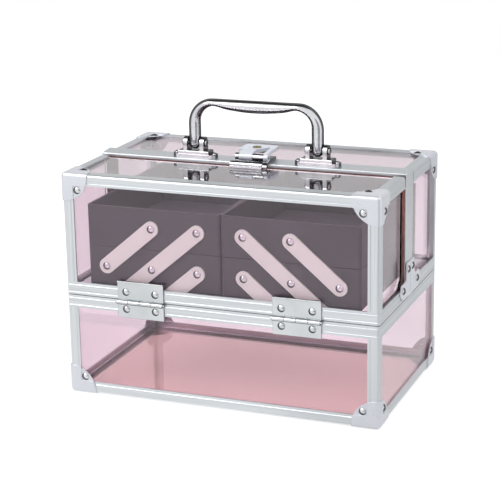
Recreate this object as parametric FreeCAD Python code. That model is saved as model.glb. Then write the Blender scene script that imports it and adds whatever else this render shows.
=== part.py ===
import FreeCAD, Part
import math
import os

# Makeup storage case with a handle: clear tinted acrylic panels in an aluminium frame, a low base,
# a front lid and a rear lid that swing apart, and four trays on parallel links.
# Millimetres. Origin under the middle of the case, +X right, -Y front, +Z up.

V = FreeCAD.Vector

# Case
CASE_W = 260.0            # outside of the aluminium, along X
CASE_D = 161.0            # outside of the aluminium, along Y
CASE_TOP = 182.0          # top of the lid rails
CASE_FLOOR = 1.0          # underside of the base rails; the corner caps reach down to 0
PARTING = 83.0            # height of the line between base and lids, and of both hinge pins
HALF_GAP = 0.3            # half of the gap at the parting line
HW = CASE_W / 2
HD = CASE_D / 2

# Sheets and extrusions
SKIN = 1.2                # wall of every aluminium profile
SHEET = 3.0               # room for an acrylic sheet
SHEET_PLAY = 0.1          # how much smaller a sheet is than its room, on every side
RAIL_FACE = 9.2           # width of the bottom and top rails, on each of their two faces
RIM_FACE = 10.6           # height of the rails above and below the parting line
POST_FACE = 9.4           # width of a corner post on the front and rear
POST_SIDE = 7.2           # width of a corner post on the sides
EDGE_R = 2.5              # rounding of the outside edges
GROOVE_W = 0.8            # decorative groove along a rail
GROOVE_DEEP = 0.35
GROOVE_IN = 2.2           # from the rail's free edge to its groove
RIM_LEG = 7.2             # inner leg of the rim channel
CORNER_STOP = 13.0        # rails and posts end this far from the corner, under the cap
SILL_TOP = PARTING + RIM_FACE
SIDE_CORE = 2.6           # acrylic strip between a lid's side sheet and the aluminium over it
RIM_BOTTOM = PARTING - RIM_FACE

# Corner caps
CAP_T = 1.0
CAP_REACH = 23.0          # from the cap's sharp corner to the ends of its arms
CAP_LOBE_R = 20.5         # rounding between the arms, almost a quarter circle
CAP_STEP = 0.7            # how much deeper the web between the arms is than the arms
CAP_RIVET_IN = 14.0       # from the corner to a rivet
CAP_RIVET_BACK = 12.8     # the same along Y for the rivet on the side

# Bow, the band over the middle of the rear lid
BOW_W = 20.0
BOW_RIDGE_Y = 6.0         # the band's ridge runs nearer its rear edge
BOW_CREASE = 1.6          # how much higher the ridge is than the edges, on top
BOW_SIDE_CREASE = 0.6     # the same on the legs
BOW_TOP = 184.0
LID_CLEAR = 4.0           # gap between the front lid's rear edge and the bow
LID_EDGE = -BOW_W / 2 - LID_CLEAR
SILL_SPLIT = 0.4          # gap between the front lid's side sill and the rear lid's
SHEET_CHAMFER_Y = 10.0    # lower rear corner of the front lid's side sheets, cut off
SHEET_CHAMFER_Z = 6.5

# Bow brackets
BRACKET_T = 1.2
BRACKET_RIVETS = ((-5.6, 106.5), (5.6, 106.5), (-19.5, 92.2), (19.5, 92.2))

# Rivets with a domed head
RIVET_R = 3.1
RIVET_H = 1.5
RIVET_SHANK_R = 1.5

# Hinges
HINGE_X = 65.0
HINGE_W = 39.2
LEAF_T = 1.2
LEAF_UP = 15.6
LEAF_DOWN = 14.4
KNUCKLE_R = 1.9
KNUCKLES = 4
PIN_R = 1.0
HINGE_DROP = 1.3          # the pins lie this far below the parting line
RUNNING = 0.05            # radial clearance of every pin that turns
HINGE_OUT = 2.6           # from the case face to the pin
LEAF_RIVET_X = 12.5
LEAF_RIVET_UP = 6.7
LEAF_RIVET_DOWN = 7.4

# Handle
HANDLE_X = 2.5            # the handle and its brackets sit a little right of the middle
LEG_X = 52.2              # from the handle's middle to a leg
LEG_HALF = 5.0
PIVOT_Z = 194.8
HANDLE_TOP = 231.6
HANDLE_BEND = 17.0
LEG_DEEP = 5.0             # half the leg, front to rear
HANDLE_PIN_R = 2.0
EAR_GAP = 0.4
EAR_T = 3.5
EAR_R = 5.0
FOOT_L = 38.0
FOOT_D = 11.4
FOOT_Z = 186.0
PAD_L = 26.6
PAD_D = 11.0
PAD_Z = 189.0
FOOT_RIVET_X = 16.3
FOOT_RIVET_R = 2.3         # these rivets are smaller than the others
FOOT_RIVET_SHANK_R = 1.2
PIN_HEAD_R = 2.9
PIN_HEAD_T = 1.4

# Latch
LATCH_X0 = -11.8          # left edge of the lever; the latch sits a little right of the middle
LATCH_W = 28.0
LATCH_BASE_Z = 185.6
BARREL_Y = -8.0
BARREL_Z = 188.0
BARREL_R = 3.2
TAB_FROM = 3.7            # the lever's curled tab, from the lever's left edge
TAB_TO = 15.0
ARM_W = 3.6               # the lever's narrow arm at its right edge
LATCH_PIN_R = 1.1
PLATE_T = 2.7
PLATE_START = 0.0
PLATE_END = 18.0
PLATE_Z = 192.5           # top of the lever's plate
WINDOW_BACK = 9.5         # rear end of the slanted window between tab and arm
KEY_X = 0.8
KEY_Y = 7.5
KEY_R = 2.7
STRIKE_X = 0.7
STRIKE_W = 27.0
STRIKE_H = 5.0

# Trays and links
TRAY_IN = 0.25            # half the gap between the left and the right trays
TRAY_OUT = 113.0
TRAY_D = 143.6
TRAY_LOW = 90.5
TRAY_H = 32.7
TRAY_GAP = 0.4
TRAY_WALL = 2.0
TRAY_R = 2.5
LINK_DX = 39.0            # from one pivot of a link to the next
LINK_DZ = 33.0
PIVOT_STEP = 38.7         # between neighbouring links
LINE_X = 97.0             # start of the outermost link's line, from the middle of the case
LINE_Z = 74.6
BASE_ROW = 0.12           # how far up that line the base's pivots lie; the trays' are at 1 and 2
LINK_W = 12.5
LINK_T = 1.5
LINK_CLEAR = 0.3
TRAY_PIN_R = 1.6
STRIP_T = 1.2


def block(x0, x1, y0, y1, z0, z1):
    return Part.makeBox(x1 - x0, y1 - y0, z1 - z0, V(x0, y0, z0))


def sheet(x0, x1, y0, y1, z0, z1):
    """Acrylic sheet that lies loose in the room given."""
    play = SHEET_PLAY
    return block(x0 + play, x1 - play, y0 + play, y1 - play, z0 + play, z1 - play)


def prism(points, direction):
    """Solid with a polygon face, pushed along a direction."""
    wire = Part.makePolygon(points + [points[0]])
    return Part.Face(wire).extrude(direction)


def rod(centre, axis, radius, length):
    """Cylinder that starts at centre and runs along axis."""
    return Part.makeCylinder(radius, length, centre, axis)


def mirror_x(shape):
    return shape.mirror(V(0, 0, 0), V(1, 0, 0))


def mirror_y(shape):
    return shape.mirror(V(0, 0, 0), V(0, 1, 0))


def both_sides(shape):
    """A shape and its mirror image across the middle plane X = 0."""
    return [shape, mirror_x(shape)]


def four_corners(shape):
    pair = both_sides(shape)
    return pair + [mirror_y(item) for item in pair]


def save(name, solids):
    shape = solids[0] if len(solids) == 1 else Part.makeCompound(solids)
    shape.exportStep("parts/" + name + ".step")


def rivet(point, normal, shank, head_r=RIVET_R, head_h=RIVET_H, shank_r=RIVET_SHANK_R):
    """Domed rivet whose head sits at point; its shank runs the other way from the normal."""
    ball = (head_r ** 2 + head_h ** 2) / (2 * head_h)
    half_angle = math.asin(head_r / ball) / 2
    middle = V(ball * math.sin(half_angle), 0, head_h - ball + ball * math.cos(half_angle))
    arc = Part.Arc(V(head_r, 0, 0), middle, V(0, 0, head_h))
    edges = [
        Part.makeLine(V(0, 0, -shank), V(shank_r, 0, -shank)),
        Part.makeLine(V(shank_r, 0, -shank), V(shank_r, 0, 0)),
        Part.makeLine(V(shank_r, 0, 0), V(head_r, 0, 0)),
        arc.toShape(),
        Part.makeLine(V(0, 0, head_h), V(0, 0, -shank)),
    ]
    solid = Part.Face(Part.Wire(edges)).revolve(V(0, 0, 0), V(0, 0, 1), 360)
    solid.Placement = FreeCAD.Placement(point, FreeCAD.Rotation(V(0, 0, 1), normal))
    return solid


def drilled(shape, holes):
    """Shape with round holes; each hole is (point, axis, radius, length) centred on point."""
    for point, axis, radius, length in holes:
        start = point - axis * (length / 2)
        shape = shape.cut(rod(start, axis, radius, length))
    return shape


def angle_profile(corner, toward_a, toward_b, leg_a, leg_b, run, thick_b=SKIN):
    """L-shaped extrusion with a rounded outside edge and one groove along each leg.

    corner is a point on the sharp outside edge; the legs run toward_a and toward_b from it.
    thick_b is the thickness of the leg that runs toward_b."""

    def at(a, b):
        return corner + toward_a * a + toward_b * b

    half = GROOVE_W / 2
    ga = leg_a - GROOVE_IN
    gb = leg_b - GROOVE_IN
    bend = EDGE_R * (1 - math.sqrt(0.5))
    start, end = at(EDGE_R, 0), at(0, EDGE_R)
    side_a = [start, at(ga - half, 0), at(ga, GROOVE_DEEP), at(ga + half, 0), at(leg_a, 0),
              at(leg_a, SKIN), at(thick_b, SKIN), at(thick_b, leg_b), at(0, leg_b),
              at(0, gb + half), at(GROOVE_DEEP, gb), at(0, gb - half), end]
    edges = [Part.makeLine(p, q) for p, q in zip(side_a, side_a[1:])]
    edges.append(Part.Arc(end, at(bend, bend), start).toShape())
    return Part.Face(Part.Wire(edges)).extrude(run)


def rim_profile(face, inward, slot_way, run, slot):
    """Channel extrusion that holds a sheet; face is the outside edge of its closed side.

    The slot opens along slot_way, and inward points from the outside face into the case."""

    def at(a, b):
        return face + inward * a + slot_way * b

    half = GROOVE_W / 2
    groove = RIM_FACE - HALF_GAP - GROOVE_IN
    tall = RIM_FACE - HALF_GAP
    deep = 2 * SKIN + slot
    points = [at(0, 0), at(deep, 0), at(deep, RIM_LEG), at(deep - SKIN, RIM_LEG), at(deep - SKIN, SKIN),
              at(SKIN, SKIN), at(SKIN, tall), at(0, tall), at(0, groove + half),
              at(GROOVE_DEEP, groove), at(0, groove - half), at(0, GROOVE_IN + half),
              at(GROOVE_DEEP, GROOVE_IN), at(0, GROOVE_IN - half)]
    return prism(points, run)


def rim_ring(z_closed, slot_way, side_slot):
    """Four mitred rim rails around the case: front, rear, right, left."""
    outline = block(-HW, HW, -HD, HD, z_closed - RIM_FACE, z_closed + RIM_FACE)
    uprights = [e for e in outline.Edges if abs(e.tangentAt(e.FirstParameter).z) > 0.9]
    outline = outline.makeFillet(EDGE_R, uprights)
    front = rim_profile(V(-HW, -HD, z_closed), V(0, 1, 0), slot_way, V(CASE_W, 0, 0), SHEET)
    right = rim_profile(V(HW, -HD, z_closed), V(-1, 0, 0), slot_way, V(0, CASE_D, 0), side_slot)
    tall = V(0, 0, 4 * RIM_FACE)
    low = z_closed - 2 * RIM_FACE
    mitre = HD + 1
    front_zone = prism([V(-HW - 1, -HD - 1, low), V(HW + 1, -HD - 1, low), V(HW - HD, 0, low),
                        V(HD - HW, 0, low)], tall)
    right_zone = prism([V(HW + 1, -mitre, low), V(HW + 1, mitre, low), V(HW - HD, 0, low)], tall)
    front = front.common(front_zone).common(outline)
    right = right.common(right_zone).common(outline)
    return [front, mirror_y(front), right, mirror_x(right)]


def mid_keep(shape, y_from, y_to):
    """The part of a shape that lies between two planes across the case."""
    return shape.common(block(-2 * HW, 2 * HW, y_from, y_to, -10, 3 * CASE_TOP))


# ---------------------------------------------------------------- base

WALL_OUT_X = HW - SKIN
WALL_OUT_Y = HD - SKIN
WALL_IN_X = WALL_OUT_X - SHEET
WALL_IN_Y = WALL_OUT_Y - SHEET
FLOOR_Z = CASE_FLOOR + SKIN
RIM_TOP = PARTING - HALF_GAP
SILL_BOTTOM = PARTING + HALF_GAP
LID_SHEET_TOP = CASE_TOP - SKIN
LID_SHEET_UNDER = LID_SHEET_TOP - SHEET
LID_SIDE_OUT = WALL_OUT_X - SIDE_CORE
LID_SIDE_IN = LID_SIDE_OUT - SHEET
RIM_IN_Y = HD - 2 * SKIN - SHEET


def base_panels():
    low, high = FLOOR_Z + SHEET, RIM_TOP - SKIN
    save("base_floor", [sheet(-WALL_OUT_X, WALL_OUT_X, -WALL_OUT_Y, WALL_OUT_Y, FLOOR_Z, low)])
    front = sheet(-WALL_OUT_X, WALL_OUT_X, -WALL_OUT_Y, -WALL_IN_Y, low, high)
    side = sheet(WALL_IN_X, WALL_OUT_X, -WALL_IN_Y, WALL_IN_Y, low, high)
    save("base_front_panel", [front])
    save("base_rear_panel", [mirror_y(front)])
    save("base_side_panels", both_sides(side))


def base_bottom_rails():
    run_x = CASE_W - 2 * CORNER_STOP
    run_y = CASE_D - 2 * CORNER_STOP
    front = angle_profile(V(-run_x / 2, -HD, CASE_FLOOR), V(0, 1, 0), V(0, 0, 1),
                          RAIL_FACE, RAIL_FACE, V(run_x, 0, 0))
    side = angle_profile(V(HW, -run_y / 2, CASE_FLOOR), V(-1, 0, 0), V(0, 0, 1),
                         RAIL_FACE, RAIL_FACE, V(0, run_y, 0))
    save("base_bottom_rails", [front, mirror_y(front)] + both_sides(side))


def corner_post(z0, z1, side_t):
    """Post at the right front corner; side_t is the thickness of its side leg."""
    return angle_profile(V(HW, -HD, z0), V(-1, 0, 0), V(0, 1, 0), POST_FACE, POST_SIDE,
                         V(0, 0, z1 - z0), side_t)


def base_posts():
    save("base_posts", four_corners(corner_post(CASE_FLOOR + CORNER_STOP, RIM_BOTTOM, SKIN)))


def corner_cap(riveted_faces):
    """Pressed three-sided cap for the right front top corner, drilled for its rivets."""
    reach = CAP_REACH
    corner = V(HW + CAP_T, -HD - CAP_T, CASE_TOP + CAP_T)

    def rounded(inset):
        radius = EDGE_R + CAP_T - inset
        x1, y0, z1 = corner.x - inset, corner.y + inset, corner.z - inset
        body = block(corner.x - reach, x1, y0, corner.y + reach, corner.z - reach, z1)
        tip = V(x1, y0, z1)
        edges = [e for e in body.Edges if any(v.Point.distanceToPoint(tip) < 1e-6 for v in e.Vertexes)]
        return body.makeFillet(radius, edges)

    cap = rounded(0).cut(rounded(CAP_T))
    far = V(corner.x - reach, corner.y + reach, corner.z - reach)
    for axis in ("x", "y", "z"):
        lobe = block(corner.x - reach, corner.x, corner.y, corner.y + reach, corner.z - reach, corner.z)
        keep = [e for e in lobe.Edges if abs(getattr(e.tangentAt(e.FirstParameter), axis)) > 0.9
                and all(abs(getattr(e.Vertexes[0].Point, other) - getattr(far, other)) < 1e-6
                        for other in "xyz" if other != axis)]
        cap = cap.common(lobe.makeFillet(CAP_LOBE_R, keep))
    for web in cap_webs():
        cap = cap.cut(web)
    places = cap_rivets_at()[:riveted_faces]
    return drilled(cap, [(point, normal, RIVET_SHANK_R, 4 * CAP_T) for point, normal in places])


def cap_webs():
    """Pockets in the three faces of the right front top cap, between its arms."""
    far = 2 * CAP_REACH
    over = 0.4
    left = CAP_T - CAP_STEP
    x, y, z = HW - POST_FACE - over, -HD + POST_SIDE + over, CASE_TOP - RAIL_FACE - over
    top_x, top_y = HW - RAIL_FACE - over, -HD + RAIL_FACE + over
    front = block(x - far, x, -HD - far, -HD - left, z - far, z)
    side = block(HW + left, HW + far, y, y + far, z - far, z)
    top = block(top_x - far, top_x, top_y, top_y + far, CASE_TOP + left, CASE_TOP + far)
    return front, side, top


def cap_rivets_at():
    """Where the rivets of the right front top cap sit: front, right and top."""
    drop = CAP_T - CAP_STEP
    x, y, z = HW + CAP_T, -HD - CAP_T, CASE_TOP + CAP_T
    inset, back = CAP_RIVET_IN, CAP_RIVET_BACK
    return [(V(x - inset, -HD - drop, z - inset), V(0, -1, 0)),
            (V(HW + drop, y + back, z - inset), V(1, 0, 0)),
            (V(x - inset, y + inset, CASE_TOP + drop), V(0, 0, 1))]


def cap_rivets(faces):
    return [rivet(point, normal, CAP_T - CAP_STEP) for point, normal in cap_rivets_at()[:faces]]


def to_base(shape):
    """Turn a piece made for the top of the lid upside down, to the bottom of the base."""
    flipped = shape.mirror(V(0, 0, 0), V(0, 0, 1))
    flipped.translate(V(0, 0, CASE_TOP + CASE_FLOOR))
    return flipped


def base_caps():
    save("base_corner_caps", four_corners(to_base(corner_cap(2))))


# ---------------------------------------------------------------- hinges, drawn for the right front

HINGE_Y = -HD - HINGE_OUT
HINGE_Z = PARTING - HINGE_DROP


def knuckle_spans(first):
    width = HINGE_W / KNUCKLES
    left = HINGE_X - HINGE_W / 2
    play = 0.15
    return [(left + i * width + play, left + (i + 1) * width - play) for i in range(first, KNUCKLES, 2)]


def hinge_leaf(lower):
    """One leaf with its knuckles; the lower leaf has the first and third knuckle."""
    x0, x1 = HINGE_X - HINGE_W / 2, HINGE_X + HINGE_W / 2
    face = -HD - LEAF_T
    play = 0.3
    if lower:
        leaf = block(x0, x1, face, -HD, PARTING - LEAF_DOWN, RIM_TOP)
        mine, others = knuckle_spans(0), knuckle_spans(1)
        rivet_z = PARTING - LEAF_RIVET_DOWN
        for a, b in others:
            room = block(a - play, b + play, face, -HD, HINGE_Z - KNUCKLE_R - play, RIM_TOP)
            leaf = leaf.cut(room)
    else:
        leaf = block(x0, x1, face, -HD, SILL_BOTTOM, PARTING + LEAF_UP)
        lip_z = PARTING + LEAF_UP - LEAF_T
        leaf = leaf.fuse(block(x0, x1, -HD - 1.8 * LEAF_T, -HD, lip_z, lip_z + LEAF_T))
        mine, others = knuckle_spans(1), knuckle_spans(0)
        rivet_z = PARTING + LEAF_RIVET_UP
        for a, b in mine:
            leaf = leaf.fuse(block(a, b, face, -HD - 0.1, HINGE_Z, SILL_BOTTOM + 0.1))
    axis = V(1, 0, 0)
    for a, b in others:
        leaf = leaf.cut(rod(V(a - play, HINGE_Y, HINGE_Z), axis, KNUCKLE_R + play, b - a + 2 * play))
    for a, b in mine:
        leaf = leaf.fuse(rod(V(a, HINGE_Y, HINGE_Z), axis, KNUCKLE_R, b - a))
    leaf = leaf.removeSplitter()
    bore = PIN_R + (0 if lower else RUNNING)
    holes = [(V(HINGE_X, HINGE_Y, HINGE_Z), axis, bore, 2 * HINGE_W)]
    for side in (-1, 1):
        holes.append((V(HINGE_X + side * LEAF_RIVET_X, -HD, rivet_z), V(0, 1, 0), RIVET_SHANK_R, 4 * LEAF_T))
    return drilled(leaf, holes)


def hinge_rivets(lower):
    z = PARTING - LEAF_RIVET_DOWN if lower else PARTING + LEAF_RIVET_UP
    return [rivet(V(HINGE_X + side * LEAF_RIVET_X, -HD - LEAF_T, z), V(0, -1, 0), LEAF_T)
            for side in (-1, 1)]


def base_hinges():
    save("base_hinge_leaves", four_corners(hinge_leaf(True)))
    reach = HINGE_W / 2 + 1.2
    pin = rod(V(HINGE_X - reach, HINGE_Y, HINGE_Z), V(1, 0, 0), PIN_R, 2 * reach)
    save("hinge_pins", four_corners(pin))


def base_rivets():
    solids = []
    for item in cap_rivets(2):
        solids += four_corners(to_base(item))
    for item in hinge_rivets(True):
        solids += four_corners(item)
    save("base_rivets", solids)


# ---------------------------------------------------------------- lids, drawn for the front

def lid_sheets(rear_edge):
    """Front, top and right sheets of a lid whose top and sides end at rear_edge."""
    low = SILL_BOTTOM + SKIN
    front = sheet(-LID_SIDE_OUT, LID_SIDE_OUT, -WALL_OUT_Y, -WALL_IN_Y, low, LID_SHEET_UNDER)
    top = sheet(-LID_SIDE_OUT, LID_SIDE_OUT, -WALL_OUT_Y, rear_edge, LID_SHEET_UNDER, LID_SHEET_TOP)
    side = sheet(LID_SIDE_IN, LID_SIDE_OUT, -RIM_IN_Y, rear_edge, low, LID_SHEET_UNDER)
    return front, top, side


def sill_core(y0, y1):
    """Dark strip inside the right side sill; its upper edge shows as a ledge."""
    return block(LID_SIDE_OUT, WALL_OUT_X, y0, y1, SILL_BOTTOM + SKIN, SILL_TOP)


def top_rails(rear_edge):
    run_x = CASE_W - 2 * CORNER_STOP
    front = angle_profile(V(-run_x / 2, -HD, CASE_TOP), V(0, 1, 0), V(0, 0, -1),
                          RAIL_FACE, RAIL_FACE, V(run_x, 0, 0))
    y0 = -HD + CORNER_STOP
    side = angle_profile(V(HW, y0, CASE_TOP), V(-1, 0, 0), V(0, 0, -1),
                         RAIL_FACE, RAIL_FACE, V(0, rear_edge - y0, 0), SKIN + SIDE_CORE)
    return [front] + both_sides(side)


def lid_posts():
    return both_sides(corner_post(SILL_TOP, CASE_TOP - CORNER_STOP, SKIN + SIDE_CORE))


def lid_rivets():
    solids = []
    for item in cap_rivets(3) + hinge_rivets(False):
        solids += both_sides(item)
    return solids


def front_lid():
    front, top, side = lid_sheets(LID_EDGE)
    low = SILL_BOTTOM + SKIN
    inside, outside = V(LID_SIDE_IN - 1, 0, 0), V(LID_SIDE_OUT + 1, 0, 0)
    corner = [V(0, LID_EDGE - SHEET_CHAMFER_Y, low - 1), V(0, LID_EDGE - SHEET_CHAMFER_Y, SILL_TOP),
              V(0, LID_EDGE, SILL_TOP + SHEET_CHAMFER_Z), V(0, LID_EDGE + 1, SILL_TOP + SHEET_CHAMFER_Z),
              V(0, LID_EDGE + 1, low - 1)]
    side = side.cut(prism([inside + point for point in corner], outside - inside))
    ring = rim_ring(SILL_BOTTOM, V(0, 0, 1), SHEET + SIDE_CORE)
    save("front_lid_front_panel", [front])
    save("front_lid_top_panel", [top])
    save("front_lid_side_panels", both_sides(side))
    save("front_lid_sill_rails", [ring[0]] + [mid_keep(item, -2 * HD, LID_EDGE) for item in ring[2:]])
    save("front_lid_sill_cores", both_sides(sill_core(-WALL_OUT_Y, LID_EDGE)))
    save("front_lid_posts", lid_posts())
    save("front_lid_top_rails", top_rails(LID_EDGE))
    save("front_lid_corner_caps", both_sides(corner_cap(3)))
    save("front_lid_hinge_leaves", both_sides(hinge_leaf(False)))
    save("front_lid_rivets", lid_rivets())


def rear_lid():
    front, top, _ = lid_sheets(-BOW_W / 2)
    side = sheet(LID_SIDE_IN, LID_SIDE_OUT, -BOW_W / 2, RIM_IN_Y, SILL_BOTTOM + SKIN, LID_SHEET_UNDER)
    ring = rim_ring(SILL_BOTTOM, V(0, 0, 1), SHEET + SIDE_CORE)
    from_y = LID_EDGE + SILL_SPLIT
    save("rear_lid_rear_panel", [mirror_y(front)])
    save("rear_lid_top_panel", [mirror_y(top)])
    save("rear_lid_side_panels", both_sides(side))
    save("rear_lid_sill_rails", [ring[1]] + [mid_keep(item, from_y, 2 * HD) for item in ring[2:]])
    save("rear_lid_sill_cores", both_sides(sill_core(from_y, WALL_OUT_Y)))
    save("rear_lid_posts", [mirror_y(item) for item in lid_posts()])
    save("rear_lid_top_rails", [mirror_y(item) for item in top_rails(-BOW_W / 2)])
    save("rear_lid_corner_caps", [mirror_y(item) for item in both_sides(corner_cap(3))])
    save("rear_lid_hinge_leaves", [mirror_y(item) for item in both_sides(hinge_leaf(False))])
    save("rear_lid_rivets", [mirror_y(item) for item in lid_rivets()])


# ---------------------------------------------------------------- bow

def bow_trim():
    """Ridged aluminium band: a bar over the top and a leg down each side, mitred."""
    half, ridge = BOW_W / 2, BOW_RIDGE_Y
    edge_z = BOW_TOP - BOW_CREASE
    section = [V(-HW, -half, LID_SHEET_TOP), V(-HW, half, LID_SHEET_TOP), V(-HW, half, edge_z),
               V(-HW, ridge + 0.8, BOW_TOP), V(-HW, ridge - 0.8, BOW_TOP),
               V(-HW, 2 - half, edge_z + 0.5), V(-HW, 1.6 - half, edge_z), V(-HW, -half, edge_z)]
    top = prism(section, V(CASE_W, 0, 0))
    edge_x = HW - BOW_SIDE_CREASE
    section = [V(WALL_OUT_X, -half, SILL_TOP), V(WALL_OUT_X, half, SILL_TOP), V(edge_x, half, SILL_TOP),
               V(HW, ridge + 0.8, SILL_TOP), V(HW, ridge - 0.8, SILL_TOP),
               V(edge_x + 0.2, 2 - half, SILL_TOP), V(edge_x, 1.6 - half, SILL_TOP),
               V(edge_x, -half, SILL_TOP)]
    leg = prism(section, V(0, 0, BOW_TOP - SILL_TOP))
    inner, outer = V(WALL_OUT_X, -half, LID_SHEET_TOP), V(HW, -half, BOW_TOP)
    across = V(0, BOW_W, 0)
    leg_zone = prism([inner, outer, V(2 * HW, -half, BOW_TOP), V(2 * HW, -half, 0),
                      V(WALL_OUT_X, -half, 0)], across)
    for zone in both_sides(leg_zone):
        top = top.cut(zone)
    return [top] + both_sides(leg.common(leg_zone))


def bow_core():
    """Acrylic strip under the band; its dark front edge shows beside the front lid."""
    half = BOW_W / 2
    top = block(-LID_SIDE_OUT, LID_SIDE_OUT, -half, half, LID_SHEET_UNDER, LID_SHEET_TOP)
    leg = block(LID_SIDE_OUT, WALL_OUT_X, -half, half, SILL_TOP, LID_SHEET_TOP)
    return [top] + both_sides(leg)


def bow_bracket():
    """Stepped T plate that ties a bow leg to its sill, with a raised bead down the middle."""
    half = [(0, 112), (9.5, 112), (11.5, 98.5), (25, 98), (28, 91), (22, 85.2), (0, 84.3)]
    outline = [V(HW, y, z) for y, z in half]
    outline += [V(HW, -y, z) for y, z in reversed(half[1:-1])]
    plate = prism(outline, V(BRACKET_T, 0, 0))
    bead = rod(V(HW + BRACKET_T, 0, 86.5), V(0, 0, 1), 0.8, 24.0)
    ends = [Part.makeSphere(0.8, V(HW + BRACKET_T, 0, z)) for z in (86.5, 110.5)]
    plate = plate.fuse([bead] + ends).removeSplitter()
    relief = 0.15
    plate = plate.cut(block(HW - 2, HW + relief, -40, LID_EDGE + SILL_SPLIT, 80, 120))
    plate = plate.cut(block(HW - 2, HW, -40, 40, 80, 120))
    holes = [(V(HW, y, z), V(1, 0, 0), RIVET_SHANK_R, 6 * BRACKET_T) for y, z in BRACKET_RIVETS]
    return drilled(plate, holes)


def on_handle(solids):
    """Moves pieces drawn round the handle's middle to the handle's place on the band."""
    for solid in solids:
        solid.translate(V(HANDLE_X, 0, 0))
    return solids


def bow_rivets():
    solids = []
    for y, z in BRACKET_RIVETS:
        shank = BRACKET_T if y > -BOW_W else BRACKET_T - 0.15
        solids += both_sides(rivet(V(HW + BRACKET_T, y, z), V(1, 0, 0), shank))
    for side in (-1, 1):
        point = V(LEG_X + side * FOOT_RIVET_X, 0, FOOT_Z)
        small = rivet(point, V(0, 0, 1), FOOT_Z - BOW_TOP, FOOT_RIVET_R, 1.5, FOOT_RIVET_SHANK_R)
        solids += on_handle(both_sides(small))
    return solids


# ---------------------------------------------------------------- handle, drawn round its own middle

def handle_bracket():
    """Foot, pad and two ears that hold one leg of the handle; right side."""
    foot = block(LEG_X - FOOT_L / 2, LEG_X + FOOT_L / 2, -FOOT_D / 2, FOOT_D / 2,
                 BOW_TOP - BOW_CREASE, FOOT_Z)
    ends = [e for e in foot.Edges if abs(e.tangentAt(e.FirstParameter).z) > 0.9]
    foot = foot.makeFillet(FOOT_D / 2 - 0.2, ends).cut(bow_trim()[0])
    pad = block(LEG_X - PAD_L / 2, LEG_X + PAD_L / 2, -PAD_D / 2, PAD_D / 2, FOOT_Z, PAD_Z)
    rims = [e for e in pad.Edges if e.Vertexes[0].Z > PAD_Z - 0.1 and e.Vertexes[1].Z > PAD_Z - 0.1]
    pad = pad.makeFillet(1.0, rims)
    bracket = foot.fuse(pad)
    for side in (-1, 1):
        inner = LEG_X + side * (LEG_HALF + EAR_GAP)
        x0 = min(inner, inner + side * EAR_T)
        ear = block(x0, x0 + EAR_T, -EAR_R, EAR_R, PAD_Z - 0.5, PIVOT_Z)
        ear = ear.fuse(rod(V(x0, 0, PIVOT_Z), V(1, 0, 0), EAR_R, EAR_T))
        bracket = bracket.fuse(ear)
    bracket = bracket.removeSplitter()
    holes = [(V(LEG_X, 0, PIVOT_Z), V(1, 0, 0), HANDLE_PIN_R + RUNNING, FOOT_L)]
    for side in (-1, 1):
        holes.append((V(LEG_X + side * FOOT_RIVET_X, 0, FOOT_Z), V(0, 0, 1), FOOT_RIVET_SHANK_R, 8))
    return drilled(bracket, holes)


def handle_section(x, z, angle, half_thick, half_deep):
    """Ellipse across the handle's path; angle is the path's direction in the XZ plane."""
    normal = V(-math.sin(angle), 0, math.cos(angle))
    centre = V(x, 0, z)
    ellipse = Part.Ellipse(centre + V(0, half_deep, 0), centre + normal * half_thick, centre)
    return Part.Wire([ellipse.toShape()])


def handle_bar():
    """Flat oval bar: legs with round ends, wide bends and a grip that swells on its underside."""
    leg_t, thin, belly = 4.9, 3.0, 5.1
    spring = HANDLE_TOP - thin - HANDLE_BEND
    stations = []
    for step in range(6):
        z = PIVOT_Z + (spring - PIVOT_Z) * step / 5
        stations.append((LEG_X, z, math.pi / 2, leg_t, LEG_DEEP))
    for step in (1, 2, 3, 4, 5, 6):
        turn = step * math.pi / 12
        x = LEG_X - HANDLE_BEND * (1 - math.cos(turn))
        z = spring + HANDLE_BEND * math.sin(turn)
        stations.append((x, z, math.pi / 2 + turn, leg_t + (thin - leg_t) * step / 6, LEG_DEEP + 0.08 * step))
    grip = LEG_X - HANDLE_BEND
    for share in (0.75, 0.5, 0.25, 0.0):
        swell = thin + (belly - thin) * (1 - share * share)
        stations.append((grip * share, HANDLE_TOP - swell, math.pi, swell, 5.3))
    mirrored = [(-x, z, math.pi - angle, t, d) for x, z, angle, t, d in reversed(stations[:-1])]
    wires = [handle_section(*item) for item in stations]
    wires += [handle_section(x, z, angle + math.pi, t, d) for x, z, angle, t, d in mirrored]
    bar = Part.makeLoft(wires, True, False)
    for side in (-1, 1):
        bar = bar.fuse(Part.makeSphere(LEG_DEEP - 0.02, V(side * LEG_X, 0, PIVOT_Z)))
    return drilled(bar, [(V(0, 0, PIVOT_Z), V(1, 0, 0), HANDLE_PIN_R, CASE_W)])


def handle_pin():
    half = LEG_HALF + EAR_GAP + EAR_T
    play = 0.15
    pin = rod(V(LEG_X - half - play, 0, PIVOT_Z), V(1, 0, 0), HANDLE_PIN_R, 2 * (half + play))
    for side in (-1, 1):
        face = LEG_X + side * (half + play)
        head = rod(V(face, 0, PIVOT_Z), V(side, 0, 0), PIN_HEAD_R, PIN_HEAD_T)
        rims = [e for e in head.Edges if abs(e.CenterOfMass.x - face) > PIN_HEAD_T - 0.1 and len(e.Vertexes) == 1]
        pin = pin.fuse(head.makeFillet(0.8, rims))
    return pin.removeSplitter()


# ---------------------------------------------------------------- latch

LATCH_X1 = LATCH_X0 + LATCH_W
TAB_X = (LATCH_X0 + TAB_FROM, LATCH_X0 + TAB_TO)
ARM_X = (LATCH_X1 - ARM_W, LATCH_X1)
KNUCKLE_PLAY = 0.3


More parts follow.
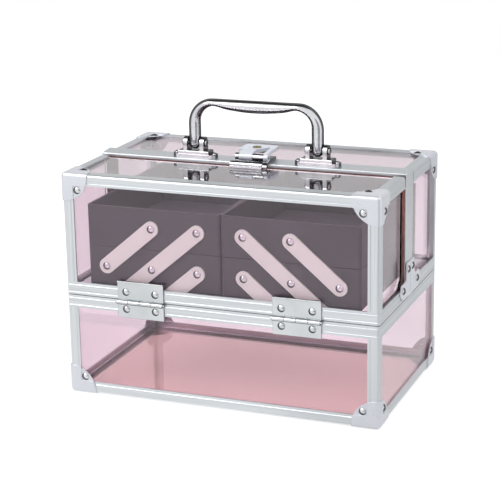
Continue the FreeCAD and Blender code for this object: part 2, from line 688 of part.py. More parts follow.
def latch_base():
    """Plate on top of the bow, with a knuckle at the left of the lever's tab and one right of it."""
    edge = BOW_W / 2 - 0.4
    axis = V(1, 0, 0)
    x0, x1 = LATCH_X0 + 0.4, LATCH_X1
    base = block(x0, x1, -edge, edge, BOW_TOP - BOW_CREASE - 0.1, LATCH_BASE_Z)
    base = base.cut(bow_trim()[0])
    for a, b in ((x0, TAB_X[0] - KNUCKLE_PLAY), (TAB_X[1] + KNUCKLE_PLAY, ARM_X[0] - KNUCKLE_PLAY)):
        foot = block(a, b, BARREL_Y - 1.6, BARREL_Y + 2.8, LATCH_BASE_Z - 0.5, BARREL_Z)
        base = base.fuse(foot).fuse(rod(V(a, BARREL_Y, BARREL_Z), axis, BARREL_R - 0.4, b - a))
    base = base.removeSplitter()
    for a, b in (TAB_X, ARM_X):
        room = rod(V(a - KNUCKLE_PLAY, BARREL_Y, BARREL_Z), axis, BARREL_R + 0.3, b - a + 2 * KNUCKLE_PLAY)
        base = base.cut(room)
    return drilled(base, [(V(0, BARREL_Y, BARREL_Z), axis, LATCH_PIN_R, CASE_W)])


def latch_pin():
    return rod(V(LATCH_X0 - 0.4, BARREL_Y, BARREL_Z), V(1, 0, 0), LATCH_PIN_R, LATCH_W + 0.8)


def latch_lever():
    """Lever: a round-cornered plate, a curled tab and a narrow arm that reach the pin in front."""
    under = PLATE_Z - PLATE_T
    plate = block(LATCH_X0, LATCH_X1, PLATE_START, PLATE_END, under, PLATE_Z)
    ends = [e for e in plate.Edges if abs(e.tangentAt(e.FirstParameter).z) > 0.9
            and e.Vertexes[0].Y > PLATE_END - 1]
    plate = plate.makeFillet(4.0, ends)
    window = [V(TAB_X[1], PLATE_START - 1, under - 1), V(LATCH_X0 + 22.0, WINDOW_BACK, under - 1),
              V(ARM_X[0] - 1.0, WINDOW_BACK, under - 1), V(ARM_X[0], PLATE_START - 1, under - 1)]
    plate = plate.cut(prism(window, V(0, 0, PLATE_T + 2)))
    axis = V(1, 0, 0)
    nose = BARREL_Y - BARREL_R
    for a, b in (TAB_X, ARM_X):
        curl = [V(a, PLATE_START, under), V(a, PLATE_START, PLATE_Z), V(a, BARREL_Y + 1.5, PLATE_Z - 0.6),
                V(a, BARREL_Y - 1.4, PLATE_Z - 1.7), V(a, nose, BARREL_Z), V(a, BARREL_Y, BARREL_Z)]
        plate = plate.fuse(prism(curl, V(b - a, 0, 0)))
        plate = plate.fuse(rod(V(a, BARREL_Y, BARREL_Z), axis, BARREL_R, b - a))
    lever = plate.removeSplitter()
    holes = [(V(0, BARREL_Y, BARREL_Z), axis, LATCH_PIN_R + RUNNING, CASE_W),
             (V(KEY_X, KEY_Y, PLATE_Z), V(0, 0, 1), KEY_R + RUNNING, 20)]
    return drilled(lever, holes)


def key_cylinder():
    """Brass lock plug with a keyway, and the small cam under the plate that it turns."""
    below = PLATE_T + 0.2
    plug = rod(V(0, 0, -below), V(0, 0, 1), KEY_R, below + 0.5)
    collar = rod(V(0, 0, 0.1), V(0, 0, 1), KEY_R + 0.7, 0.4)
    cam = block(-2.2, 6.5, -2.2, 2.2, -below - 1.0, -below)
    plug = plug.fuse([collar, cam]).removeSplitter()
    plug = plug.cut(block(-0.45, 0.45, -1.8, 1.8, -1.5, 2.0))
    plug.translate(V(KEY_X, KEY_Y, PLATE_Z))
    return plug


def latch_strike():
    """Grooved bar on the front lid's rear edge, with a short stub at its right end."""
    x0, z = STRIKE_X - STRIKE_W / 2, LID_SHEET_TOP
    y = LID_EDGE - 0.2
    top, front = z + STRIKE_H, y - 4.8
    profile = [(y, z), (y, top - 0.6), (y - 0.6, top), (front + 1.6, top), (front + 0.5, top - 0.7),
               (front, top - 1.5), (front, z + 2.4), (front + 0.5, z + 2.0), (front, z + 1.6), (front, z)]
    bar = prism([V(x0, a, b) for a, b in profile], V(STRIKE_W, 0, 0))
    stub = rod(V(x0 + STRIKE_W - 1, y - 2.3, z + 1.9), V(1, 0, 0), 1.8, 5.0)
    return bar.fuse(stub).removeSplitter()


def rear_middle():
    save("bow_trim", bow_trim())
    save("bow_core", bow_core())
    save("bow_brackets", both_sides(bow_bracket()))
    save("bow_rivets", bow_rivets())
    save("handle_brackets", on_handle(both_sides(handle_bracket())))
    save("handle_bar", on_handle([handle_bar()]))
    save("handle_pins", on_handle(both_sides(handle_pin())))
    save("latch_base", [latch_base()])
    save("latch_pin", [latch_pin()])
    save("latch_lever", [latch_lever()])
    save("key_cylinder", [key_cylinder()])
    save("latch_strike", [latch_strike()])


# ---------------------------------------------------------------- trays and links, drawn for the left front

TRAY_FACE = -TRAY_D / 2
LINK_BACK = TRAY_FACE - LINK_CLEAR
LINK_FRONT = LINK_BACK - LINK_T


def pivot_at(column, row):
    """Pivot point on the left stack: column 0 is outermost, and the row is BASE_ROW, 1 or 2."""
    x = -LINE_X + column * PIVOT_STEP + row * LINK_DX
    return x, LINE_Z + row * LINK_DZ


# Pivots by owner, as (column, row): link 0 starts on the base's outer pivot and holds three,
# link 1 starts on the base's inner pivot, and link -1 starts on the lower tray.
LINKS = {"main": (0, (BASE_ROW, 1, 2)), "base": (1, (BASE_ROW, 1)), "top": (-1, (1, 2))}
LOWER_TRAY_PINS = ((0, 1), (1, 1), (-1, 1))
UPPER_TRAY_PINS = ((0, 2), (-1, 2))
BASE_PINS = ((0, BASE_ROW), (1, BASE_ROW))


def front_and_rear(shape):
    return [shape, mirror_y(shape)]


def link(kind):
    column, rows = LINKS[kind]
    x0, z0 = pivot_at(column, rows[0])
    x1, z1 = pivot_at(column, rows[-1])
    length = math.hypot(x1 - x0, z1 - z0)
    half = LINK_W / 2
    bar = block(0, length, LINK_FRONT, LINK_BACK, -half, half)
    for x in (0, length):
        bar = bar.fuse(rod(V(x, LINK_FRONT, 0), V(0, 1, 0), half, LINK_T))
    bar = bar.removeSplitter()
    tilt = math.degrees(math.atan2(z1 - z0, x1 - x0))
    bar.rotate(V(0, 0, 0), V(0, 1, 0), -tilt)
    bar.translate(V(x0, 0, z0))
    holes = []
    for row in rows:
        x, z = pivot_at(column, row)
        holes.append((V(x, LINK_FRONT, z), V(0, 1, 0), TRAY_PIN_R + RUNNING, 4 * LINK_T))
    return drilled(bar, holes)


def tray_pin(column, row):
    """Domed pin through a link into a tray's wall."""
    x, z = pivot_at(column, row)
    play = 0.1
    return rivet(V(x, LINK_FRONT - play, z), V(0, -1, 0), play + LINK_T + LINK_CLEAR + TRAY_WALL,
                 head_r=3.15, head_h=1.5, shank_r=TRAY_PIN_R)


def tray(level):
    """Open-topped tray of the left stack; level 0 is the lower one."""
    z0 = TRAY_LOW + level * (TRAY_H + TRAY_GAP)
    outer = block(-TRAY_OUT, -TRAY_IN, TRAY_FACE, -TRAY_FACE, z0, z0 + TRAY_H)
    inner = block(-TRAY_OUT + TRAY_WALL, -TRAY_IN - TRAY_WALL, TRAY_FACE + TRAY_WALL,
                  -TRAY_FACE - TRAY_WALL, z0 + TRAY_WALL, z0 + TRAY_H + 1)
    shapes = []
    for body, radius in ((outer, TRAY_R), (inner, TRAY_R - 1.0)):
        uprights = [e for e in body.Edges if abs(e.tangentAt(e.FirstParameter).z) > 0.9]
        shapes.append(body.makeFillet(radius, uprights))
    shape = shapes[0].cut(shapes[1])
    holes = []
    for column, row in (LOWER_TRAY_PINS, UPPER_TRAY_PINS)[level]:
        x, z = pivot_at(column, row)
        for side in (-1, 1):
            depth = 2 * TRAY_WALL + 1
            holes.append((V(x, side * TRAY_D / 2, z), V(0, 1, 0), TRAY_PIN_R, depth))
    return drilled(shape, holes)


def tray_stack():
    for side, turn in (("left", lambda s: s), ("right", mirror_x)):
        for level, name in enumerate(("lower", "upper")):
            save(side + "_" + name + "_tray", [turn(tray(level))])
            pins = []
            for place in (LOWER_TRAY_PINS, UPPER_TRAY_PINS)[level]:
                pins += [turn(item) for item in front_and_rear(tray_pin(*place))]
            save(side + "_" + name + "_tray_pins", pins)
        for kind in LINKS:
            save(side + "_" + kind + "_links", [turn(item) for item in front_and_rear(link(kind))])


def tray_mounts():
    """Strip inside the front and rear rims, with a headed pin for each link that starts there."""
    rim_in = -HD + 2 * SKIN + SHEET
    front = rim_in + STRIP_T
    strip = block(-106, 106, rim_in, front, RIM_BOTTOM + 0.3, RIM_TOP)
    pins = []
    holes = []
    play, head = 0.1, 0.6
    for column, row in BASE_PINS:
        for side in (-1, 1):
            x, z = pivot_at(column, row)
            x = side * x
            holes.append((V(x, rim_in, z), V(0, 1, 0), TRAY_PIN_R, 4 * STRIP_T))
            pin = rod(V(x, rim_in, z), V(0, 1, 0), TRAY_PIN_R, LINK_BACK + play - rim_in)
            pin = pin.fuse(rod(V(x, LINK_BACK + play, z), V(0, 1, 0), 3.0, head))
            pins.append(pin.removeSplitter())
    strip = drilled(strip, holes)
    save("tray_mount_strips", front_and_rear(strip))
    save("tray_mount_pins", pins + [mirror_y(item) for item in pins])


def main():
    os.makedirs("parts", exist_ok=True)
    base_panels()
    base_bottom_rails()
    save("base_rim_rails", rim_ring(RIM_TOP, V(0, 0, -1), SHEET))
    base_posts()
    base_caps()
    base_hinges()
    base_rivets()
    tray_mounts()
    front_lid()
    rear_lid()
    rear_middle()
    tray_stack()


main()
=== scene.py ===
"""Looks of the makeup storage case: materials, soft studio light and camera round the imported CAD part.

The script adds no shapes to the case. Lengths are in metres and angles in degrees."""

import math

import bpy
from mathutils import Matrix, Vector


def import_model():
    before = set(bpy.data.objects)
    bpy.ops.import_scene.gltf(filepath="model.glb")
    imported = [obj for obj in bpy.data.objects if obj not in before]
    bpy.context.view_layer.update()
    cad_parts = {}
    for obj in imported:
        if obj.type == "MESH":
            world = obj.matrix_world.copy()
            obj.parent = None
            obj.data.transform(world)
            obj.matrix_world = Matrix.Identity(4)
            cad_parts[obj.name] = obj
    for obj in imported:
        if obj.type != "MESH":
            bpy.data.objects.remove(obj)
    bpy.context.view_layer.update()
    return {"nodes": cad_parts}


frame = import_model()
NODES = frame["nodes"]

# Camera, found from the picture's perspective
AZIMUTH, ELEVATION, ROLL = 21.386, 16.134, -0.962
CAMERA_AT = (0.4575, -1.1784, 0.4744)
LENS_MM = 116.7
SENSOR_MM = 36
CLIP_NEAR, CLIP_FAR = 0.05, 20

# Half width and half depth of the case, where its rails turn the corner
HALF_W, HALF_D = 0.130, 0.0805

# Lamps: name, place, side, watts, and whether polished metal mirrors it
LAMPS = [
    ("key", (-0.9, -1.3, 1.5), 1.0, 11.5, True),
    ("fill", (1.4, -0.6, 1.1), 1.0, 6, False),
    ("top", (0, 0.3, 1.7), 1.2, 9, False),
]
LAMP_AIM = (0, 0, 0.1)
WORLD_LIGHT = 0.62                    # strength of the world on matt surfaces

# Floor: size, grey, and the glow that keeps it white to the camera
FLOOR_RADIUS = 1.6
FLOOR_Z = -0.0002
FLOOR_GREY = 0.86
FLOOR_LIFT = 0.40
THROUGH_LIFT = 0.20                   # the glow seen through a clear sheet
UNDER_CASE_PAINTED_LIGHT = 0.29                     # painted light: a pool of more glow under the clear case, for lamp light that passes through it
PAINTED_LIGHT_FADE = (0.09, 0.21)             # distance over which that painted pool of light fades

# The room as mirrors show it. A part of it lies toward a direction. Its span says where it fades in,
# from 0 square to the direction to 1 straight along it.
UP = (0, 0, 1)
AWAY = (-0.36, 0.933, 0)              # from the camera past the case
RIGHT = (0.933, 0.36, 0)              # to the camera's right
GAP = (0.683, -0.730, 0)              # gap between the lights beside the camera
CEILING = (-0.093, 0.242, 0.966)      # middle of the dark part of the ceiling
WALLS = 0.94
BEHIND_DARKER, BEHIND_SPAN = 0.36, (0.10, 0.30)
GAP_DARKER, GAP_SPAN = 0.60, (0.90, 0.96)
BACKDROP, BACKDROP_SPAN = 0.64, (0.70, 0.85)
HIGH, HIGH_SPAN = 0.88, (0.50, 0.68)
CEILING_DARKER, CEILING_SPAN = 0.68, (0.85, 0.92)
TABLE_LIT, TABLE_DULL, DULL_SPAN = 0.88, 0.70, (-0.2, 0.6)
TABLE_EDGE = (0.62, 0.76)             # distance over which the table gives way to the room

# Tints of the clear sheets, thin and deep
SHEET_TINTS = (0.90, 0.80, 0.855), (0.885, 0.78, 0.84)
FLOOR_TINTS = (0.84, 0.57, 0.56), (0.81, 0.54, 0.53)
LAMP_TINT = (0.97, 0.93, 0.95)        # what a sheet lets through to the shadow behind it
ACRYLIC_IOR = 1.49

# Painted shade: bare metal's mirror colour is darkened as it turns away, drawing dark outlines: (turn,
# brightness)
STEEL_PAINTED_EDGE_SHADE = ((0.24, 1.0), (0.46, 0.30))
POLISHED_PAINTED_EDGE_SHADE = ((0.18, 1.0), (0.30, 0.16), (0.80, 0.10))


# ---------------------------------------------------------------- node helpers

class Shader:
    """A material under construction, with short calls for the nodes it needs."""

    def __init__(self, name):
        self.material = bpy.data.materials.new(name)
        self.material.use_nodes = True
        self.tree = self.material.node_tree
        self.main = self.tree.nodes["Principled BSDF"]

    def node(self, kind, **settings):
        made = self.tree.nodes.new(kind)
        for key, value in settings.items():
            setattr(made, key, value)
        return made

    def link(self, out, into):
        self.tree.links.new(out, into)

    def place(self, scale=(1, 1, 1)):
        """Position on the object, stretched by scale."""
        coords = self.node("ShaderNodeTexCoord")
        mapping = self.node("ShaderNodeMapping")
        mapping.inputs["Scale"].default_value = scale
        self.link(coords.outputs["Object"], mapping.inputs["Vector"])
        return mapping.outputs["Vector"]

    def noise(self, vector, scale, detail=3.0, roughness=0.5):
        made = self.node("ShaderNodeTexNoise")
        made.inputs["Scale"].default_value = scale
        made.inputs["Detail"].default_value = detail
        made.inputs["Roughness"].default_value = roughness
        self.link(vector, made.inputs["Vector"])
        return made.outputs["Fac"]

    def spread(self, value, low, high):
        """Turns the middle of a noise, 0.3 to 0.7, into low to high."""
        made = self.node("ShaderNodeMapRange")
        made.inputs["From Min"].default_value = 0.3
        made.inputs["From Max"].default_value = 0.7
        made.inputs["To Min"].default_value = low
        made.inputs["To Max"].default_value = high
        self.link(value, made.inputs["Value"])
        return made.outputs["Result"]

    def ramp(self, value, stops):
        """Colour for a value, from (value, colour) stops."""
        made = self.node("ShaderNodeValToRGB")
        elements = made.color_ramp.elements
        while len(elements) < len(stops):
            elements.new(0.5)
        for element, (at, colour) in zip(elements, stops):
            element.position = at
            element.color = (*colour, 1)
        self.link(value, made.inputs["Fac"])
        return made.outputs["Color"]

    def mix(self, factor, a, b):
        """The linked colour a where factor is 0, and the constant colour b where it is 1."""
        made = self.node("ShaderNodeMix", data_type="RGBA")
        made.inputs["B"].default_value = (*b, 1)
        self.link(factor, made.inputs["Factor"])
        self.link(a, made.inputs["A"])
        return made.outputs["Result"]

    def bump(self, height, strength, distance, under=None):
        """Feeds a bump to the shader, on top of the normals in under, if any."""
        made = self.node("ShaderNodeBump")
        made.inputs["Strength"].default_value = strength
        made.inputs["Distance"].default_value = distance
        self.link(height, made.inputs["Height"])
        if under:
            self.link(under, made.inputs["Normal"])
        self.feed("Normal", made.outputs["Normal"])

    def soft_edges(self, radius):
        """Normals that round every sharp edge a little."""
        made = self.node("ShaderNodeBevel", samples=6)
        made.inputs["Radius"].default_value = radius
        return made.outputs["Normal"]

    def paint_edge_shade(self, colour, normals, stops):
        """Painted shade: darkens a metal's mirror colour where the surface turns away, drawing dark
        outlines at edges and silhouettes: stops are (turn, brightness).
        """
        layer = self.node("ShaderNodeLayerWeight")
        layer.inputs["Blend"].default_value = 0.5
        self.link(normals, layer.inputs["Normal"])
        shade = self.ramp(layer.outputs["Facing"], [(at, (value,) * 3) for at, value in stops])
        made = self.node("ShaderNodeMix", data_type="RGBA", blend_type="MULTIPLY")
        made.inputs["Factor"].default_value = 1.0
        self.link(colour, made.inputs["A"])
        self.link(shade, made.inputs["B"])
        return made.outputs["Result"]

    def pass_lamps(self, colour):
        """Lets lamp light through, tinted, so that clear sheets don't cast solid shadows."""
        out = self.tree.nodes["Material Output"]
        paths = self.node("ShaderNodeLightPath")
        clear = self.node("ShaderNodeBsdfTransparent")
        clear.inputs["Color"].default_value = (*colour, 1)
        either = self.node("ShaderNodeMixShader")
        self.link(paths.outputs["Is Shadow Ray"], either.inputs["Fac"])
        self.link(self.main.outputs["BSDF"], either.inputs[1])
        self.link(clear.outputs["BSDF"], either.inputs[2])
        self.link(either.outputs["Shader"], out.inputs["Surface"])

    def set(self, **values):
        """Sets the shader's own sockets. An underscore in a name stands for a space."""
        for key, value in values.items():
            self.main.inputs[key.replace("_", " ")].default_value = value

    def feed(self, socket, out):
        self.link(out, self.main.inputs[socket])


def linear(red, green, blue):
    """Linear colour from 0 to 255 screen values."""
    def one(value):
        value /= 255
        return value / 12.92 if value <= 0.04045 else ((value + 0.055) / 1.055) ** 2.4
    return one(red), one(green), one(blue)


# ---------------------------------------------------------------- materials

def acrylic(name, tints, coat=0.0, shine=0.3):
    """Clear tinted sheet: polished, with a faint ripple and a slightly uneven tint."""
    thin, deep = tints
    m = Shader(name)
    drift = m.noise(m.place(), 9.0, 2.0)
    m.feed("Base Color", m.ramp(drift, [(0.35, deep), (0.65, thin)]))
    m.set(Transmission_Weight=1.0, IOR=ACRYLIC_IOR, Metallic=0.0)
    m.set(Coat_Weight=coat, Coat_Roughness=0.0, Specular_IOR_Level=shine)
    m.feed("Roughness", m.spread(m.noise(m.place(), 60.0), 0.0, 0.02))
    m.bump(m.noise(m.place(), 14.0, 1.0), 0.04, 0.002)
    m.pass_lamps(LAMP_TINT)
    return m.material


def cut_edge(name, low, high):
    """Polished edge of the sheet material, nearly opaque."""
    m = Shader(name)
    streaks = m.noise(m.place((40, 40, 4)), 30.0, 4.0)
    m.feed("Base Color", m.ramp(streaks, [(0.3, low), (0.7, high)]))
    m.set(Metallic=0.0, Coat_Weight=0.6, Coat_Roughness=0.05)
    m.feed("Roughness", m.spread(streaks, 0.18, 0.32))
    m.bump(streaks, 0.1, 0.0003)
    return m.material


def run_lines(m, way):
    """Fine drawing lines along a profile. way is 'z', or 'ring' for rails that run round the case."""
    along, across = 12, 1400
    if way == "z":
        return m.noise(m.place((across, across, along)), 1.0, 2.0)
    along_x = m.noise(m.place((along, across, across)), 1.0, 2.0)
    along_y = m.noise(m.place((across, along, across)), 1.0, 2.0)
    coords = m.node("ShaderNodeTexCoord")
    parts = m.node("ShaderNodeSeparateXYZ")
    m.link(coords.outputs["Object"], parts.inputs["Vector"])
    inset = []
    for axis, half in (("X", HALF_W), ("Y", HALF_D)):
        size = m.node("ShaderNodeMath", operation="ABSOLUTE")
        m.link(parts.outputs[axis], size.inputs[0])
        depth = m.node("ShaderNodeMath", operation="SUBTRACT")
        depth.inputs[0].default_value = half
        m.link(size.outputs[0], depth.inputs[1])
        inset.append(depth.outputs[0])
    side = m.node("ShaderNodeMath", operation="LESS_THAN")
    m.link(inset[0], side.inputs[0])
    m.link(inset[1], side.inputs[1])
    chosen = m.node("ShaderNodeMix", data_type="FLOAT")
    m.link(side.outputs[0], chosen.inputs["Factor"])
    m.link(along_x, chosen.inputs["A"])
    m.link(along_y, chosen.inputs["B"])
    return chosen.outputs["Result"]


def aluminium(name, way):
    """Extruded aluminium: bright satin, with fine lines along the profile and faint handling marks."""
    m = Shader(name)
    lines = run_lines(m, way)
    cloud = m.noise(m.place(), 35.0, 4.0)
    tone = m.ramp(lines, [(0.25, linear(214, 219, 223)), (0.75, linear(240, 243, 245))])
    m.feed("Base Color", m.mix(m.spread(cloud, 0.0, 0.35), tone, linear(226, 230, 236)))
    m.set(Metallic=1.0)
    m.feed("Roughness", m.spread(cloud, 0.30, 0.42))
    m.bump(lines, 0.12, 0.0002)
    return m.material


def satin_metal(name, low, high, roughness, metallic, edge_shade_stops=None):
    """Painted or plated metal with a soft sheen, very fine grain and slightly rounded edges.

    The last argument, for bare metal only, paints dark outlines at its edges: painted shade."""
    m = Shader(name)
    grain = m.noise(m.place(), 900.0, 2.0)
    cloud = m.noise(m.place(), 28.0, 3.0)
    edges = m.soft_edges(0.0005)
    tone = m.ramp(cloud, [(0.3, low), (0.7, high)])
    m.feed("Base Color", m.paint_edge_shade(tone, edges, edge_shade_stops) if edge_shade_stops else tone)
    m.set(Metallic=metallic)
    m.feed("Roughness", m.spread(cloud, roughness - 0.06, roughness + 0.06))
    m.bump(grain, 0.08, 0.0001, edges)
    return m.material


def polished(name, low, high, roughness):
    """Mirror-bright plating with faint smudges. Its mirror colour is darkened where it turns away:
    painted shade that draws dark outlines.
    """
    m = Shader(name)
    smudge = m.noise(m.place(), 120.0, 5.0, 0.6)
    edges = m.soft_edges(0.0004)
    tone = m.ramp(smudge, [(0.3, low), (0.7, high)])
    m.feed("Base Color", m.paint_edge_shade(tone, edges, POLISHED_PAINTED_EDGE_SHADE))
    m.set(Metallic=1.0)
    m.feed("Roughness", m.spread(smudge, roughness * 0.6, roughness * 1.4))
    m.bump(m.noise(m.place(), 50.0, 2.0), 0.03, 0.0004, edges)
    return m.material


def moulded(name, low, high):
    """Smooth moulded plastic of the trays: satin, with a fine pebble."""
    m = Shader(name)
    pebble = m.noise(m.place(), 1600.0, 2.0)
    cloud = m.noise(m.place(), 14.0, 3.0)
    m.feed("Base Color", m.ramp(cloud, [(0.3, low), (0.7, high)]))
    m.set(Metallic=0.0, Specular_IOR_Level=0.3)
    m.feed("Roughness", m.spread(cloud, 0.34, 0.44))
    m.bump(pebble, 0.1, 0.0001)
    return m.material


def dress():
    """Gives every piece the material of the first ending below that its name has, or chrome."""
    ring = aluminium("aluminium_ring", "ring")
    upright = aluminium("aluminium_upright", "z")
    cap = satin_metal("cap_metal", linear(222, 224, 232), linear(232, 234, 241), 0.30, 0.60)
    plate = satin_metal("latch_plate", linear(228, 232, 243), linear(236, 240, 249), 0.26, 0.25)
    steel = satin_metal("hinge_steel", linear(214, 219, 222), linear(236, 239, 241), 0.22, 1.0,
                        STEEL_PAINTED_EDGE_SHADE)
    strap = satin_metal("link_paint", linear(242, 246, 238), linear(249, 252, 245), 0.32, 0.0)
    chrome = polished("chrome", linear(214, 216, 220), linear(238, 239, 242), 0.06)
    brass = polished("brass", linear(196, 160, 60), linear(226, 196, 96), 0.14)
    looks = [
        (("base_floor",), acrylic("acrylic_floor", FLOOR_TINTS)),
        (("_top_panel",), acrylic("acrylic_top", SHEET_TINTS, coat=0.7, shine=0.5)),
        (("_panel", "_panels"), acrylic("acrylic", SHEET_TINTS)),
        # The ledge's near-black tone is partly the sheet's deep-tinted cut edge and partly painted shade,
        # for the dark line along the sills
        (("sill_cores",), cut_edge("acrylic_ledge_and_shade", linear(46, 32, 34), linear(66, 48, 50))),
        (("bow_core",), cut_edge("acrylic_strip", linear(112, 74, 68), linear(148, 104, 94))),
        (("corner_caps", "bow_brackets"), cap),
        (("latch_lever",), plate),
        (("hinge_leaves",), steel),
        (("_tray",), moulded("tray_plastic", linear(80, 76, 84), linear(90, 85, 94))),
        (("_links",), strap),
        (("key_cylinder",), brass),
        (("_posts",), upright),
        (("_rails", "bow_trim", "tray_mount_strips"), ring),
    ]
    for name, node in NODES.items():
        chosen = next((look for endings, look in looks if name.endswith(endings)), chrome)
        node.data.materials.clear()
        node.data.materials.append(chosen)


# ---------------------------------------------------------------- stage, light and camera

class Net:
    """A node tree under construction, for the world and the floor."""

    def __init__(self, tree):
        self.tree = tree
        tree.nodes.clear()

    def node(self, kind, **inputs):
        made = self.tree.nodes.new(kind)
        for key, value in inputs.items():
            made.inputs[key].default_value = value
        return made

    def join(self, out, into):
        self.tree.links.new(out, into)

    def math(self, operation, *values):
        made = self.tree.nodes.new("ShaderNodeMath")
        made.operation = operation
        for socket, value in zip(made.inputs, values):
            if isinstance(value, (int, float)):
                socket.default_value = value
            else:
                self.join(value, socket)
        return made.outputs[0]

    def step(self, value, span):
        """0 below the span's start, 1 above its end, smooth between."""
        start, end = span
        made = self.tree.nodes.new("ShaderNodeMapRange")
        made.interpolation_type = "SMOOTHSTEP"
        made.inputs["From Min"].default_value = start
        made.inputs["From Max"].default_value = end
        self.join(value, made.inputs["Value"])
        return made.outputs["Result"]

    def blend(self, factor, first, second):
        """The first value where factor is 0 and the second where it is 1."""
        rest = self.math("SUBTRACT", 1.0, factor)
        return self.math("ADD", self.math("MULTIPLY", first, rest), self.math("MULTIPLY", second, factor))

    def vector(self, operation, value):
        """Length of a vector, or the vector scaled to length 1."""
        made = self.tree.nodes.new("ShaderNodeVectorMath")
        made.operation = operation
        self.join(value, made.inputs[0])
        return made.outputs["Value" if operation == "LENGTH" else "Vector"]

    def toward(self, vector, way):
        """How much a direction points along way."""
        made = self.tree.nodes.new("ShaderNodeVectorMath")
        made.operation = "DOT_PRODUCT"
        made.inputs[1].default_value = way
        self.join(vector, made.inputs[0])
        return made.outputs["Value"]

    def ray(self, kind):
        """1 for rays of a kind that the Light Path node knows."""
        return self.node("ShaderNodeLightPath").outputs[kind]

    def sight(self):
        """1 for rays from the camera or through a clear sheet."""
        return self.math("MAXIMUM", self.ray("Is Camera Ray"), self.ray("Is Transmission Ray"))

    def mirrored(self):
        """1 for rays reflected by something glossy, 0 for rays that passed through a sheet."""
        reflected = self.math("SUBTRACT", 1.0, self.ray("Is Transmission Ray"))
        return self.math("MULTIPLY", self.ray("Is Glossy Ray"), reflected)

    def either(self, factor, first, second):
        """The first shader where factor is 0 and the second where it is 1."""
        made = self.node("ShaderNodeMixShader")
        self.join(factor, made.inputs["Fac"])
        self.join(first, made.inputs[1])
        self.join(second, made.inputs[2])
        return made.outputs[0]


def surroundings(net, way):
    """Brightness of the room in a mirror: bright to the left and right, darker behind and before it."""
    behind = net.math("MULTIPLY", net.step(net.toward(way, AWAY), BEHIND_SPAN), BEHIND_DARKER)
    gap = net.math("MULTIPLY", net.step(net.toward(way, GAP), GAP_SPAN), GAP_DARKER)
    return net.math("SUBTRACT", WALLS, net.math("MAXIMUM", behind, gap))


def world():
    """White to the camera and through the sheets; a studio with darker sides in reflections."""
    made = bpy.data.worlds.new("studio")
    bpy.context.scene.world = made
    made.use_nodes = True
    net = Net(made.node_tree)
    way = net.node("ShaderNodeTexCoord").outputs["Generated"]
    backdrop = net.math("MULTIPLY", net.step(net.toward(way, AWAY), BACKDROP_SPAN), BACKDROP)
    side = net.math("MAXIMUM", surroundings(net, way), backdrop)
    ceiling = net.math("MULTIPLY", net.step(net.toward(way, CEILING), CEILING_SPAN), CEILING_DARKER)
    high = net.math("SUBTRACT", HIGH, ceiling)
    level = net.blend(net.step(net.toward(way, UP), HIGH_SPAN), side, high)
    lamp = net.node("ShaderNodeBackground", Color=(1, 1, 1, 1), Strength=WORLD_LIGHT)
    white = net.node("ShaderNodeBackground", Color=(1, 1, 1, 1))
    room = net.node("ShaderNodeBackground", Color=(1, 1, 1, 1))
    net.join(level, room.inputs["Strength"])
    shown = net.either(net.mirrored(), lamp.outputs[0], room.outputs[0])
    shown = net.either(net.sight(), shown, white.outputs[0])
    net.join(shown, net.node("ShaderNodeOutputWorld").inputs["Surface"])


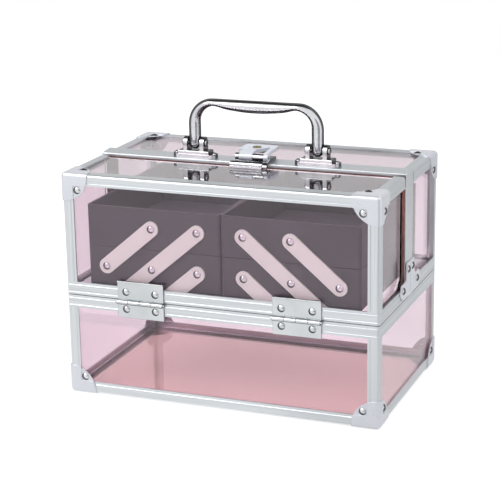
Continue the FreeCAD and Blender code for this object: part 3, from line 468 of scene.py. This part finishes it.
def floor():
    """Round white floor that stays white to the camera but keeps the case's soft shadow.

    In reflections it is a lit table, duller to the right, in the same darker room as the world's."""
    bpy.ops.mesh.primitive_circle_add(vertices=96, radius=FLOOR_RADIUS, fill_type="NGON",
                                      location=(0, 0, FLOOR_Z))
    disc = bpy.context.object
    disc.name = "floor"
    material = bpy.data.materials.new("floor_white")
    material.use_nodes = True
    net = Net(material.node_tree)
    at = net.node("ShaderNodeTexCoord").outputs["Object"]
    away = net.vector("LENGTH", at)
    way = net.vector("NORMALIZE", at)
    dull = net.math("MULTIPLY", net.step(net.toward(way, RIGHT), DULL_SPAN), TABLE_LIT - TABLE_DULL)
    table = net.math("SUBTRACT", TABLE_LIT, dull)
    level = net.blend(net.step(away, TABLE_EDGE), table, surroundings(net, way))
    paper = net.node("ShaderNodeBsdfDiffuse", Color=(FLOOR_GREY, FLOOR_GREY, FLOOR_GREY, 1))
    # Painted light: a pool of extra glow on the floor under the clear case, seen through the sheets
    under = net.math("SUBTRACT", 1.0, net.step(away, PAINTED_LIGHT_FADE))
    glow = net.math("ADD", net.math("MULTIPLY", under, UNDER_CASE_PAINTED_LIGHT), THROUGH_LIFT)
    direct = net.math("MULTIPLY", net.ray("Is Camera Ray"), FLOOR_LIFT)
    through = net.math("MULTIPLY", net.ray("Is Transmission Ray"), glow)
    lift = net.node("ShaderNodeEmission")
    net.join(net.math("ADD", direct, through), lift.inputs["Strength"])
    both = net.node("ShaderNodeAddShader")
    net.join(paper.outputs[0], both.inputs[0])
    net.join(lift.outputs[0], both.inputs[1])
    room = net.node("ShaderNodeEmission")
    net.join(level, room.inputs["Strength"])
    shown = net.either(net.mirrored(), both.outputs[0], room.outputs[0])
    net.join(shown, net.node("ShaderNodeOutputMaterial").inputs["Surface"])
    disc.data.materials.append(material)


def softbox(name, at, size, watts, mirrored):
    """Square soft lamp aimed at the case. A mirrored one also shows in polished metal."""
    data = bpy.data.lights.new(name, "AREA")
    data.shape = "SQUARE"
    data.size = size
    data.energy = watts
    lamp = bpy.data.objects.new(name, data)
    bpy.context.scene.collection.objects.link(lamp)
    lamp.location = at
    lamp.visible_glossy = mirrored
    aim = Vector(LAMP_AIM) - Vector(at)
    lamp.rotation_mode = "QUATERNION"
    lamp.rotation_quaternion = aim.to_track_quat("-Z", "Y")


def camera():
    """Camera at the photograph's viewing angle, with its slight roll."""
    az, el, roll = (math.radians(a) for a in (AZIMUTH, ELEVATION, ROLL))
    ahead = Vector((-math.sin(az) * math.cos(el), math.cos(az) * math.cos(el), -math.sin(el)))
    right = ahead.cross(Vector(UP)).normalized()
    up = right.cross(ahead)
    tilted_right = right * math.cos(roll) + up * math.sin(roll)
    tilted_up = up * math.cos(roll) - right * math.sin(roll)
    data = bpy.data.cameras.new("camera")
    data.lens = LENS_MM
    data.sensor_width = SENSOR_MM
    data.clip_start = CLIP_NEAR
    data.clip_end = CLIP_FAR
    made = bpy.data.objects.new("camera", data)
    bpy.context.scene.collection.objects.link(made)
    turn = Matrix((tilted_right, tilted_up, -ahead)).transposed().to_4x4()
    made.matrix_world = Matrix.Translation(CAMERA_AT) @ turn
    bpy.context.scene.camera = made


def main():
    bpy.context.scene.view_settings.view_transform = "Standard"
    dress()
    world()
    floor()
    for lamp in LAMPS:
        softbox(*lamp)
    camera()


main()
